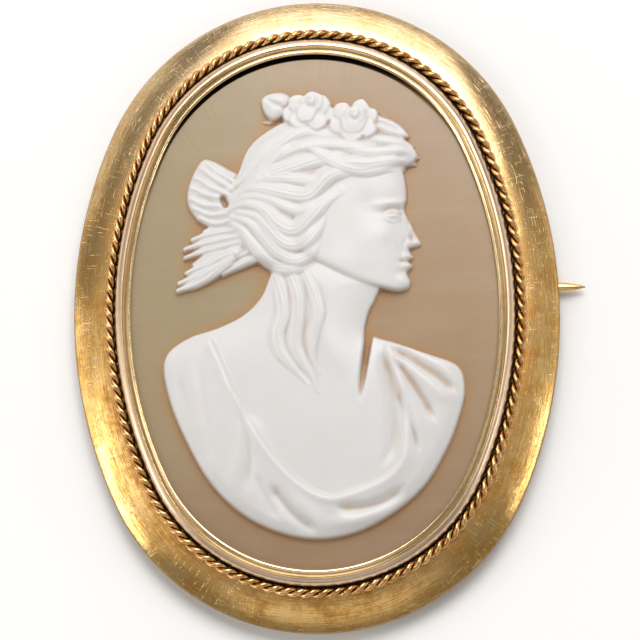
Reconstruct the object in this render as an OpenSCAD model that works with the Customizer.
// Oval shell cameo brooch, lying on its back with the carving up.
// +Z is out of the carving, +Y is the top of the brooch and +X is the side where the pin's point shows.

/* [Frame outline] */
// Width of the gold frame across its widest line
frame_w = 39.8; // [34:0.1:46]
// Height of the gold frame from top to bottom
frame_h = 52.2; // [47:0.1:60]
// How much smaller the radius of the round top and bottom is than half the width
end_trim = 1.7; // [0.8:0.1:4]

/* [Border] */
// Width of the dished band, from the outer edge in to the bezel
band_w = 3.6; // [3:0.1:5]
// How far the band climbs from its outer edge to the bezel
band_rise = 1.45; // [0.8:0.05:2.2]
// How far the band bulges above a straight slope
band_crown = 0.3; // [0.15:0.05:0.5]
// Thickness of the gold sheet
sheet_t = 0.5; // [0.3:0.05:0.7]
// Radius of the bend where the sheet turns down at the outer edge
edge_r = 0.32; // [0.25:0.01:0.4]
// Height of the outer edge over the surface the brooch lies on
edge_clear = 1.45; // [1.3:0.05:2]
// Height of the turned-down outer edge
edge_h = 0.5; // [0.4:0.05:0.9]
// Height of the setting's flat back over the bottom of the outer edge
back_rise = 0.7; // [0.65:0.05:0.9]

/* [Rope wire] */
// Diameter over the two twisted strands
rope_d = 0.87; // [0.6:0.01:1.1]
// Length along the wire from one strand's crest to the next one's
rope_crest = 1.0; // [0.8:0.05:1.6]
// Thickness of the twisted pair across its flat way
rope_waist = 0.52; // [0.4:0.01:0.7]

/* [Bezel] */
// Thickness of the bezel's wall
wall_t = 0.42; // [0.3:0.02:0.6]
// Height of the leaning shoulder under the bezel's top
shoulder_h = 0.9; // [0.5:0.05:1.1]
// How far the shoulder leans inwards
shoulder_lean = 0.48; // [0.3:0.02:0.6]
// Width of the rubbed-over lip, from the outer wall to its inner edge
lip_w = 1.36; // [1.1:0.02:1.7]
// How far the lip's top rolls down to the middle of its bead
lip_drop = 0.32; // [0.2:0.02:0.4]
// Radius of the bend between the shoulder and the lip
lip_bend = 0.12; // [0.08:0.01:0.15]
// Radius of the bead on the lip's inner edge
bead_r = 0.18; // [0.12:0.01:0.25]
// Thickness of the ledge that the shell rests on
ledge_t = 0.4; // [0.3:0.02:0.6]
// Width of the ledge, from the bezel's wall inwards
ledge_w = 1.5; // [1:0.1:2.2]

/* [Cameo] */
// Thickness of the shell at its edge
shell_edge = 1.6; // [1.3:0.05:1.9]
// How far the shell's face swells in the middle
dome_rise = 0.95; // [0.5:0.05:1.4]
// Depth of the hollow in the shell's back
back_hollow = 1.15; // [0.6:0.05:1.4]
// Height of the chest over the ground
chest_h = 1.15; // [0.8:0.05:1.6]
// Height of the cheek over the ground
cheek_h = 1.35; // [0.9:0.05:1.8]
// Height of the hair over the ground
hair_h = 1.5; // [1:0.05:2]
// Width of a full lock of hair
lock_w = 1.3; // [1:0.05:1.6]
// Width of the broadest fold of the drapery
fold_w = 1.7; // [1.2:0.05:2]
// Height of the deepest fold over the chest
fold_h = 0.5; // [0.3:0.05:0.7]
// Height of one flower of the wreath over the ground
flower_h = 1.75; // [1.2:0.05:2.2]
// Radius of one flower of the wreath
flower_r = 1.9; // [1.5:0.05:2.2]

/* [Pin fittings] */
// Distance of the hinge's line from the frame's left edge
hinge_in = 3.5; // [3:0.1:4]
// Distance of the catch's middle from the frame's right edge
catch_in = 3.9; // [3.6:0.1:4.2]
// How far the pin's line lies above the middle of the brooch
pin_y = 1.9; // [1:0.1:4]
// Diameter of the pin's stem
pin_d = 0.95; // [0.8:0.01:1.1]
// How far the point reaches past the frame's right edge
pin_past = 2.2; // [0.5:0.1:3]
// Length of the tapered point
point_l = 3.4; // [2:0.1:5]
// Length of the pin's thick root, from the hinge's line to the plain stem
root_l = 3; // [2:0.1:4]
// Outer diameter of the hinge's knuckles
knuckle_d = 1.6; // [1.5:0.05:1.8]
// Length of each fixed knuckle
fixed_l = 2; // [1.4:0.1:3]
// Length of the pin's knuckle
pin_knuckle_l = 1.8; // [1.4:0.1:3]
// Diameter of the hinge rivet
rivet_d = 0.6; // [0.5:0.02:0.7]
// Thickness of the catch's hooked strip
hook_t = 0.3; // [0.2:0.05:0.35]
// Width of the catch's hooked strip
hook_w = 1.8; // [1.2:0.1:2.2]
// Thickness of the plates that the hinge and the catch are soldered down by
plate_t = 0.35; // [0.25:0.05:0.45]
// How far a plate stands out past the fitting on it
plate_rim = 0.4; // [0.2:0.05:0.5]

/* [Fits] */
// Gap between neighbouring gold pieces
seam = 0.04; // [0.03:0.01:0.06]
// Gap between the shell and the bezel
shell_gap = 0.1; // [0.06:0.01:0.12]
// Gap at each end of the pin's knuckle
side_gap = 0.1; // [0.06:0.01:0.2]
// Radial gap between the rivet and the fixed knuckles
fixed_fit = 0.02; // [0.01:0.005:0.03]
// Radial gap between the rivet and the pin's knuckle
turning_fit = 0.05; // [0.03:0.01:0.08]
// Gap between the pin's stem and the catch
hook_gap = 0.12; // [0.1:0.01:0.15]
// Gap between the catch's lip and the path of the stem as it swings out
lip_gap = 0.06; // [0.04:0.01:0.1]

/* [Hidden] */
$fn = 48;

// The outline is an oval of four arcs, and every ring follows it at an inset from the outer edge
half_w = frame_w / 2;
half_h = frame_h / 2;
end_r = half_w - end_trim;
side_r = (half_h * half_h + half_w * half_w - 2 * half_h * end_r) / (2 * (half_w - end_r));
end_c = half_h - end_r;
side_c = side_r - half_w;
join_a = atan2(end_c, side_c);

// The point stands out on one side only, so the frame is moved to keep the origin in the middle of the whole
frame_x = -pin_past / 2;

// Heights of the fittings and of the frame's outer edge and back
pin_z = knuckle_d / 2;
edge_z = edge_clear;
back_z = edge_z + back_rise;
band_edge_z = edge_z + edge_h;
ledge_z = back_z + ledge_t;

// Band section: an arc through its outer and inner ends, drawn with x = minus the inset
band_c = norm([band_w, band_rise]);
crown_r = (band_c * band_c / 4 + band_crown * band_crown) / (2 * band_crown);
crown_x = -band_w / 2 - band_rise / band_c * (crown_r - band_crown);
crown_z = band_edge_z + band_rise / 2 - band_w / band_c * (crown_r - band_crown);
under_r = crown_r - sheet_t;
bend_z = crown_z + sqrt(pow(crown_r - edge_r, 2) - pow(-edge_r - crown_x, 2));
bend_a = atan2(bend_z - crown_z, -edge_r - crown_x);
back_out = -crown_x - sqrt(pow(under_r, 2) - pow(back_z - crown_z, 2));
function on_crown(r, inset) = acos((-inset - crown_x) / r);

// Insets of the rings
lip_in = band_w + lip_w;
inner_wall_in = band_w + wall_t;
ledge_in = inner_wall_in + ledge_w;
shell_in = inner_wall_in + shell_gap;
rope_in = band_w - seam - rope_d / 2;
rope_z = crown_z + sqrt(pow(crown_r + rope_d / 2 + seam, 2) - pow(-rope_in - crown_x, 2));

// Half sizes of the shell and of the field that shows inside the lip
shell_w = half_w - shell_in;
shell_h = half_h - shell_in;
field_w = half_w - lip_in;
field_h = half_h - lip_in;
ground_z = ledge_z + shell_edge;

// The lip's bead lies just over the shell's face, and the rest of the bezel's top follows from it
bead_z = ground_z + dome_rise * (1 - pow(field_w / shell_w, 2)) + shell_gap + bead_r;
bezel_top = bead_z + lip_drop;
shoulder_z = bezel_top - shoulder_h;

// Places of the fittings along X
hinge_x = -half_w + hinge_in;
hinge_l = 2 * fixed_l + pin_knuckle_l + 2 * side_gap;
hook_r = pin_d / 2 + hook_gap;
hook_x = half_w - catch_in;
tip_x = half_w + pin_past;
stem_start = hinge_x + root_l;
plate_z = back_z - plate_t;

// Points of an arc about [x, z], from angle a0 to a1, with the first one left out where skip is 1
function arc(x, z, r, a0, a1, steps, skip = 0) =
    [for (i = [skip:steps]) let (a = a0 + (a1 - a0) * i / steps) [x + r * cos(a), z + r * sin(a)]];

// A smooth curve through the points p, closed or open, with n steps a span
function between(a, b, c, d, t) =
    0.5 * (2 * b + (c - a) * t + (2 * a - 5 * b + 4 * c - d) * t * t
        + (3 * b - a - 3 * c + d) * t * t * t);
function smooth_loop(p, n) =
    let (m = len(p))
    [for (i = [0:m - 1], k = [0:n - 1])
        between(p[(i + m - 1) % m], p[i], p[(i + 1) % m], p[(i + 2) % m], k / n)];
function smooth_line(p, n) =
    let (m = len(p))
    [for (s = [0:n * (m - 1)])
        let (i = min(floor(s / n), m - 2), t = s / n - i)
        between(p[max(i - 1, 0)], p[i], p[i + 1], p[min(i + 2, m - 1)], t)];

// The same loop of points, turned to run counterclockwise
function twice_area(p) =
    let (m = len(p))
    [for (i = [0:m - 1]) let (q = p[(i + 1) % m]) p[i][0] * q[1] - q[0] * p[i][1]] * [for (i = p) 1];
function counterclockwise(p) =
    let (m = len(p))
    twice_area(p) > 0 ? p : [for (i = [1:m]) p[m - i]];

// The height of the shell's domed ground at a point, and the place of a point given as shares of the field
function ground(p) =
    ground_z + dome_rise * (1 - pow(p[0] / shell_w, 2) - pow(p[1] / shell_h, 2));
function place(share) = [share[0] * field_w, share[1] * field_h];
function places(shares) = [for (s = shares) place(s)];

// A closed surface of rings of points, all with as many points, closed at each end by a fan round a hub
module skin(rings, first_hub, last_hub) {
    n = len(rings[0]);
    m = len(rings);
    first = n * m;
    last = first + 1;
    polyhedron(
        points = concat([for (ring = rings) each ring], [first_hub, last_hub]),
        faces = concat(
            [for (i = [0:n - 1]) [first, i, (i + 1) % n]],
            [for (j = [0:m - 2], i = [0:n - 1])
                let (k = (i + 1) % n)
                each [[j * n + i, (j + 1) * n + i, (j + 1) * n + k],
                    [j * n + i, (j + 1) * n + k, j * n + k]]],
            [for (i = [0:n - 1]) [last, (m - 1) * n + (i + 1) % n, (m - 1) * n + i]]));
}

// The same round a closed path, with no ends
module closed_skin(rings) {
    n = len(rings[0]);
    m = len(rings);
    polyhedron(
        points = [for (ring = rings) each ring],
        faces = [for (j = [0:m - 1], i = [0:n - 1])
            let (k = (i + 1) % n, next = (j + 1) % m)
            each [[j * n + i, j * n + k, next * n + i], [j * n + k, next * n + k, next * n + i]]]);
}

// A swelling form on the ground inside an outline: each row of LEVELS is [share of the outline, share of the height]
LEVELS = [[1, 0.45], [0.9, 0.85], [0.6, 1]];
// How far a form runs on past the surface that it meets
sunk = 0.5;
module swelling(outline, middle, high, n = 2) {
    loop = counterclockwise(smooth_loop(outline, n));
    function ring(share, h) =
        [for (p = loop) let (q = middle + (p - middle) * share) [q[0], q[1], ground(q) + h]];
    skin(concat([ring(1, -sunk)], [for (level = LEVELS) ring(level[0], level[1] * high)]),
        [middle[0], middle[1], ground(middle) - sunk],
        [middle[0], middle[1], ground(middle) + high]);
}

// A tapering half-round ridge on the ground along a smooth line. ARCH is its section, as shares of half its width
// and of its height, and SWELL is its thickness at the ends and the share of a half wave that it follows.
ARCH = [[1, -1], [0.55, 0.9], [-0.55, 0.9], [-1, -1]];
SWELL = [0.25, 0.12];
module ridge(line, width, high, low, n = 2) {
    path = smooth_line(line, n);
    last = len(path) - 1;
    function ring(i) =
        let (
            along = path[min(i + 1, last)] - path[max(i - 1, 0)],
            across = [-along[1], along[0]] / norm(along),
            swell = SWELL[0] + (1 - SWELL[0]) * sin(180 * (SWELL[1] + (1 - 2 * SWELL[1]) * i / last))
        )
        [for (a = ARCH)
            let (q = path[i] + across * a[0] * width / 2 * swell)
            [q[0], q[1], ground(path[i]) + (a[1] < 0 ? -sunk : low + (high - low) * a[1] * swell)]];
    function tip(i) = [path[i][0], path[i][1], ground(path[i]) - sunk / 2];
    skin([for (i = [0:last]) ring(i)], tip(0), tip(last));
}

// Place and outward angle on the oval at an inset, at a share of the way round from the start of the top arc
function on_oval(inset, share) =
    let (
        end_len = (end_r - inset) * (180 - 2 * join_a),
        side_len = (side_r - inset) * 2 * join_a,
        s = share * 2 * (end_len + side_len)
    )
    s < end_len ? let (a = join_a + s / (end_r - inset))
        [(end_r - inset) * cos(a), end_c + (end_r - inset) * sin(a), a]
    : share < 0.5 ? let (a = 180 - join_a + (s - end_len) / (side_r - inset))
        [side_c + (side_r - inset) * cos(a), (side_r - inset) * sin(a), a]
    : let (half = on_oval(inset, share - 0.5)) [-half[0], -half[1], half[2] + 180];
function oval_length(inset) =
    2 * PI / 180 * ((end_r - inset) * (180 - 2 * join_a) + (side_r - inset) * 2 * join_a);

// The soldered setting in one section: turned-down edge, dished band, bezel wall, leaning shoulder, lip with its
// bead, ledge under the shell and flat back
SETTING_STEPS = 72;
LIP_BEND_ARC = [25, 95];
BEAD_ARC = [60, 250];
module setting() {
    section = concat(
        arc(-edge_r, bend_z, edge_r, 0, bend_a, 2),
        arc(crown_x, crown_z, crown_r, bend_a, on_crown(crown_r, band_w), 5, 1),
        [[-band_w, shoulder_z]],
        arc(-band_w - shoulder_lean - lip_bend, bezel_top - lip_bend, lip_bend,
            LIP_BEND_ARC[0], LIP_BEND_ARC[1], 2),
        arc(-lip_in + bead_r, bead_z, bead_r, BEAD_ARC[0], BEAD_ARC[1], 6),
        [[-inner_wall_in, bead_z - bead_r], [-inner_wall_in, ledge_z], [-ledge_in, ledge_z], [-ledge_in, back_z]],
        arc(crown_x, crown_z, under_r, on_crown(under_r, back_out), on_crown(under_r, sheet_t), 3),
        [[-sheet_t, edge_z], [0, edge_z]]);
    color("goldenrod")
        translate([frame_x, 0, 0])
            closed_skin([for (i = [0:SETTING_STEPS - 1])
                let (p = on_oval(0, i / SETTING_STEPS))
                [for (q = section) [p[0] + q[0] * cos(p[2]), p[1] + q[0] * sin(p[2]), q[1]]]]);
}

// The twisted wire: a flat section that turns as it follows the oval
ROPE_RINGS = 4;
ROPE_SIDES = [[1, 0], [0, 1], [-1, 0], [0, -1]];
rope_crests = 2 * round(oval_length(rope_in) / rope_crest / 2);
module rope_wire() {
    count = rope_crests * ROPE_RINGS;
    color("peru")
        translate([frame_x, 0, 0])
            closed_skin([for (i = [0:count - 1])
                let (p = on_oval(rope_in, i / count), turn = 180 * i / ROPE_RINGS)
                [for (side = ROPE_SIDES)
                    let (
                        x = side[0] * rope_d / 2,
                        y = side[1] * rope_waist / 2,
                        out = x * cos(turn) - y * sin(turn),
                        up = x * sin(turn) + y * cos(turn)
                    )
                    [p[0] + out * cos(p[2]), p[1] + out * sin(p[2]), rope_z + up]]]);
}

// The shell's ground: an oval block with a domed face and a hollow back
SHELL_STEPS = 48;
DOME_RINGS = [1, 0.9, 0.7, 0.4];
HOLLOW_RINGS = [1, 0.8, 0.4];
module shell_ground() {
    function oval(inset, share) =
        [for (i = [0:SHELL_STEPS - 1]) let (p = on_oval(inset, i / SHELL_STEPS)) [p[0], p[1]] * share];
    function level(points, z) = [for (p = points) [p[0], p[1], z]];
    function dome(share) = [for (p = oval(shell_in, share)) [p[0], p[1], ground(p)]];
    function hollow(share) = level(oval(ledge_in, share), ledge_z + back_hollow * (1 - share * share));
    difference() {
        skin(concat([level(oval(shell_in, 1), ledge_z)], [for (share = DOME_RINGS) dome(share)]),
            [0, 0, ledge_z], [0, 0, ground([0, 0])]);
        skin(concat([level(oval(ledge_in, 1), ledge_z - sunk)], [for (share = HOLLOW_RINGS) hollow(share)]),
            [0, 0, ledge_z - sunk], [0, 0, ledge_z + back_hollow]);
    }
}

// Outlines of the bust's main masses, as shares of the field
CHEST = [[-0.23, 0.1], [-0.34, 0], [-0.52, -0.07], [-0.68, -0.1], [-0.81, -0.16], [-0.82, -0.26],
    [-0.78, -0.36], [-0.67, -0.56], [-0.5, -0.75], [-0.37, -0.83], [-0.14, -0.89], [0.04, -0.9],
    [0.26, -0.84], [0.46, -0.76], [0.6, -0.65], [0.73, -0.49], [0.79, -0.38], [0.79, -0.27],
    [0.55, -0.2], [0.33, -0.12], [0.29, -0.06], [0.32, 0.04]];
NECK = [[-0.24, 0.2], [-0.26, 0.1], [-0.2, -0.1], [-0.08, -0.3], [0.1, -0.4], [0.22, -0.28],
    [0.27, -0.1], [0.34, 0.04], [0.3, 0.18], [0, 0.26]];
HAIR = [[-0.44, 0.5], [-0.4, 0.56], [-0.35, 0.63], [-0.22, 0.71], [0, 0.75], [0.28, 0.72],
    [0.46, 0.66], [0.55, 0.58], [0.5, 0.53], [0.36, 0.54], [0.24, 0.52], [0.12, 0.47], [0.05, 0.38],
    [0.03, 0.27], [-0.03, 0.15], [-0.18, 0.13], [-0.33, 0.2], [-0.46, 0.33]];
BUN = [[-0.42, 0.44], [-0.52, 0.53], [-0.6, 0.57], [-0.66, 0.53], [-0.7, 0.46], [-0.71, 0.38],
    [-0.66, 0.32], [-0.56, 0.28], [-0.44, 0.3], [-0.5, 0.37]];

// The profile, as [forward of the brow line, up from the chin] in shares of the face's height: the brow lies at two
// thirds and the base of the nose at one third
FACE = [[-0.04, 1.06], [0.01, 0.94], [0.03, 0.82], [0.03, 0.73], [0.01, 0.655], [0.05, 0.56],
    [0.1, 0.455], [0.135, 0.385], [0.11, 0.34], [0.045, 0.325], [0.075, 0.275], [0.04, 0.228],
    [0.065, 0.185], [0.02, 0.13], [0.05, 0.07], [0.015, -0.005], [-0.1, -0.02], [-0.33, 0.05],
    [-0.6, 0.18], [-0.85, 0.35], [-0.9, 0.7], [-0.7, 1.0], [-0.35, 1.12]];
face_x = 0.5 * field_w;
chin_y = 0.06 * field_h;
face_h = 0.48 * field_h;
function on_face(share) = [face_x + share[0] * face_h, chin_y + share[1] * face_h];

// Locks of hair: [width as a share of a full lock, height as a share of the hair, points along it]
LOCKS = [
    [1, 1.02, [[0.52, 0.6], [0.25, 0.6], [0, 0.59], [-0.22, 0.54], [-0.4, 0.5]]],
    [1, 1.06, [[0.5, 0.55], [0.24, 0.55], [0.02, 0.51], [-0.2, 0.45], [-0.44, 0.42]]],
    [0.92, 1, [[0.4, 0.66], [0.12, 0.66], [-0.12, 0.64], [-0.34, 0.58]]],
    [0.85, 0.96, [[0.1, 0.71], [-0.12, 0.7], [-0.3, 0.63], [-0.42, 0.52]]],
    [1, 1.1, [[0.26, 0.52], [0.1, 0.45], [-0.08, 0.38], [-0.26, 0.38], [-0.46, 0.4]]],
    [1, 1.08, [[0.1, 0.44], [0.02, 0.33], [-0.12, 0.26], [-0.3, 0.29], [-0.48, 0.37]]],
    [0.92, 1.02, [[0.03, 0.3], [-0.04, 0.2], [-0.18, 0.16], [-0.32, 0.23], [-0.48, 0.34]]],
    [0.85, 0.95, [[-0.46, 0.42], [-0.5, 0.51], [-0.6, 0.56], [-0.68, 0.5]]],
    [0.85, 0.92, [[-0.47, 0.4], [-0.57, 0.47], [-0.66, 0.46], [-0.7, 0.39]]],
    [0.85, 0.95, [[-0.46, 0.33], [-0.55, 0.29], [-0.64, 0.32], [-0.7, 0.4]]],
    [0.77, 0.7, [[-0.4, 0.31], [-0.52, 0.27], [-0.64, 0.24], [-0.74, 0.21]]],
    [0.77, 0.66, [[-0.38, 0.28], [-0.5, 0.23], [-0.62, 0.19], [-0.74, 0.17]]],
    [0.77, 0.7, [[-0.36, 0.25], [-0.48, 0.18], [-0.6, 0.12], [-0.72, 0.1]]],
    [0.77, 0.64, [[-0.4, 0.22], [-0.54, 0.13], [-0.66, 0.07], [-0.78, 0.02]]],
    [0.69, 0.6, [[-0.28, 0.2], [-0.38, 0.16], [-0.46, 0.11], [-0.51, 0.08]]],
    [0.92, 0.98, [[-0.18, 0.18], [-0.16, 0.04], [-0.12, -0.1], [-0.07, -0.22]]],
    [0.92, 1.04, [[-0.1, 0.18], [-0.05, 0.02], [-0.05, -0.12], [-0.02, -0.26]]],
    [0.85, 0.96, [[-0.03, 0.17], [0.04, 0.04], [0.03, -0.08], [0.02, -0.2]]]
];

// Folds of the drapery: [width and height as shares of the broadest and the deepest, points along it]
FOLDS = [
    [0.88, 1, [[-0.53, -0.12], [-0.44, -0.28], [-0.32, -0.45], [-0.15, -0.62], [0.02, -0.7]]],
    [0.82, 1, [[0.34, -0.14], [0.41, -0.34], [0.43, -0.52], [0.3, -0.65], [0.02, -0.7]]],
    [0.94, 0.8, [[-0.46, -0.34], [-0.36, -0.56], [-0.2, -0.74], [0.02, -0.83]]],
    [1, 0.6, [[-0.68, -0.18], [-0.64, -0.36], [-0.56, -0.56]]],
    [0.88, 0.6, [[-0.56, -0.3], [-0.52, -0.5], [-0.42, -0.7]]],
    [0.76, 0.7, [[0.36, -0.15], [0.51, -0.34], [0.55, -0.54]]],
    [0.76, 0.7, [[0.37, -0.15], [0.59, -0.3], [0.66, -0.44]]],
    [0.71, 0.7, [[0.39, -0.16], [0.62, -0.24], [0.76, -0.32]]],
    [0.75, 0.6, [[0.08, -0.75], [0.22, -0.73], [0.38, -0.68]]],
    [0.75, 0.6, [[0.06, -0.82], [0.22, -0.79], [0.4, -0.73]]]
];

// Wreath: the middle of each flower, and the outline of each leaf
FLOWERS = [[-0.03, 0.78], [0.24, 0.72]];
LEAVES = [
    [[-0.26, 0.78], [-0.2, 0.845], [-0.1, 0.85], [-0.08, 0.76], [-0.12, 0.71], [-0.21, 0.72]],
    [[0.35, 0.76], [0.44, 0.73], [0.52, 0.66], [0.54, 0.58], [0.42, 0.6], [0.34, 0.66]]
];
function mean(points) = [for (p = points) 1] * points / len(points);

// The petals, a row for each ring: [number, turn of the first one, reach and height as shares of the flower]
PETALS = [[5, 17, 1, 0.78], [3, 50, 0.66, 0.95]];

// One petal: a cupped form from the heart of the flower to its rim. PETAL holds shares of its reach: the radius at
// the heart, the place of the rim's middle, and the rim's radius at the bottom and at the top.
PETAL = [0.3, 0.6, 0.42, 0.27];
module petal(reach, high) {
    hull() {
        cylinder(r = reach * PETAL[0], h = high * 0.8, $fn = 6);
        translate([reach * PETAL[1], 0, 0])
            rotate([0, 0, 11])
                cylinder(r1 = reach * PETAL[2], r2 = reach * PETAL[3], h = high, $fn = 9);
    }
}
module flower(middle) {
    translate([middle[0], middle[1], ground(middle) - sunk]) {
        for (row = PETALS, i = [0:row[0] - 1])
            rotate([0, 0, row[1] + 360 / row[0] * i])
                petal(flower_r * row[2], sunk + flower_h * row[3]);
        rotate([0, 0, 29])
            cylinder(r1 = flower_r * PETAL[2], r2 = flower_r * PETAL[0] / 2, h = sunk + flower_h, $fn = 7);
    }
}

// The eye, a small lens under the brow: its place on the face, its radius as a share of the face's height, its
// height as a share of the cheek's, and its stretch
EYE_PLACE = [-0.12, 0.6];
EYE_R = 0.085;
EYE_HEIGHT = 0.78;
EYE_STRETCH = [1, 0.55, 0.4];
module eye() {
    middle = on_face(EYE_PLACE);
    translate([middle[0], middle[1], ground(middle) + cheek_h * EYE_HEIGHT])
        scale(EYE_STRETCH)
            sphere(r = face_h * EYE_R, $fn = 10);
}

// Heights of the lower masses, as shares of the named heights
CAP = 0.8;
KNOT = 0.55;
LEAF = 0.75;
LOCK_EDGE = 0.3;
FOLD_EDGE = 0.5;

// The carved shell: ground and bust in one piece
module cameo() {
    translate([frame_x, 0, 0])
        union() {
            color("tan")
                shell_ground();
            color("linen") {
                swelling(places(CHEST), place([0, -0.4]), chest_h);
                swelling(places(NECK), place([0.04, -0.02]), chest_h);
                swelling([for (p = FACE) on_face(p)], on_face([-0.42, 0.5]), cheek_h, 3);
                swelling(places(HAIR), place([-0.08, 0.45]), hair_h * CAP);
                swelling(places(BUN), place([-0.58, 0.42]), hair_h * KNOT);
                eye();
                for (lock = LOCKS)
                    ridge(places(lock[2]), lock_w * lock[0], hair_h * lock[1], hair_h * LOCK_EDGE);
                for (fold = FOLDS)
                    ridge(places(fold[2]), fold_w * fold[0], chest_h + fold_h * fold[1], chest_h * FOLD_EDGE);
                for (middle = FLOWERS)
                    flower(place(middle));
                for (leaf = LEAVES)
                    swelling(places(leaf), mean(places(leaf)), hair_h * LEAF);
            }
        }
}

// A cylinder along Y, centred on the hinge's axis
module across(r, l) {
    translate([frame_x + hinge_x, pin_y, pin_z])
        rotate([90, 0, 0])
            cylinder(r = r, h = l, center = true);
}

// The hinge: a plate soldered to the setting's back, with a fixed knuckle at each end
module hinge() {
    plate_w = knuckle_d + 2 * plate_rim;
    plate_l = hinge_l + 2 * plate_rim;
    color("goldenrod")
        difference() {
            union() {
                translate([frame_x + hinge_x - plate_w / 2, pin_y - plate_l / 2, plate_z])
                    cube([plate_w, plate_l, plate_t]);
                for (side = [-1, 1])
                    translate([0, side * (pin_knuckle_l / 2 + side_gap + fixed_l / 2), 0]) {
                        across(knuckle_d / 2, fixed_l);
                        translate([frame_x + hinge_x - knuckle_d / 2, pin_y - fixed_l / 2, pin_z])
                            cube([knuckle_d, fixed_l, plate_z + plate_t / 2 - pin_z]);
                    }
            }
            across(rivet_d / 2 + fixed_fit, hinge_l + knuckle_d);
        }
}

// The rivet: a wire with a low head at each end
head_t = 0.22;
head_d = 1.6 * rivet_d;
module hinge_rivet() {
    color("darkgoldenrod") {
        across(rivet_d / 2, hinge_l + 2 * (seam + head_t / 2));
        for (side = [-1, 1])
            translate([0, side * (hinge_l / 2 + seam + head_t / 2), 0])
                across(head_d / 2, head_t);
    }
}

// The pin: a knuckle, a thick root, a plain stem and a long point. Each row of POINT is [share of the point's
// length, share of the stem's radius], and the root's rows are [share of its length, radius].
POINT = [[0, 1], [0.25, 0.9], [0.5, 0.7], [0.75, 0.42], [0.92, 0.18]];
module pin() {
    root_r = knuckle_d * 0.42;
    root = [[0.1, 0], [0.1, root_r], [0.34, root_r], [1, pin_d / 2]];
    color("gold")
        difference() {
            union() {
                across(knuckle_d / 2, pin_knuckle_l);
                translate([frame_x, pin_y, pin_z])
                    rotate([0, 90, 0])
                        rotate_extrude()
                            polygon(concat(
                                [for (p = root) [p[1], hinge_x + root_l * p[0]]],
                                [for (p = POINT) [pin_d / 2 * p[1], tip_x - point_l * (1 - p[0])]],
                                [[0, tip_x]]));
            }
            across(rivet_d / 2 + turning_fit, pin_knuckle_l + knuckle_d);
        }
}

// The catch: a strip that comes down beside the stem and curls under its side, open below so that the stem can
// swing out
module catch() {
    outer = hook_r + hook_t;
    color("goldenrod")
        translate([frame_x + hook_x, pin_y, 0]) {
            translate([-hook_w / 2 - plate_rim, -outer - plate_rim, plate_z])
                cube([hook_w + 2 * plate_rim, 2 * (outer + plate_rim), plate_t]);
            translate([-hook_w / 2, 0, pin_z])
                rotate([90, 0, 90])
                    linear_extrude(hook_w) {
                        difference() {
                            circle(r = outer);
                            circle(r = hook_r);
                            translate([-2 * outer, 0])
                                square([4 * outer, 2 * outer]);
                            translate([-pin_d / 2 - lip_gap, -2 * outer])
                                square(4 * outer);
                        }
                        translate([-outer, 0])
                            square([hook_t, plate_z + plate_t / 2 - pin_z]);
                    }
        }
}

setting();
rope_wire();
cameo();
hinge();
hinge_rivet();
pin();
catch();
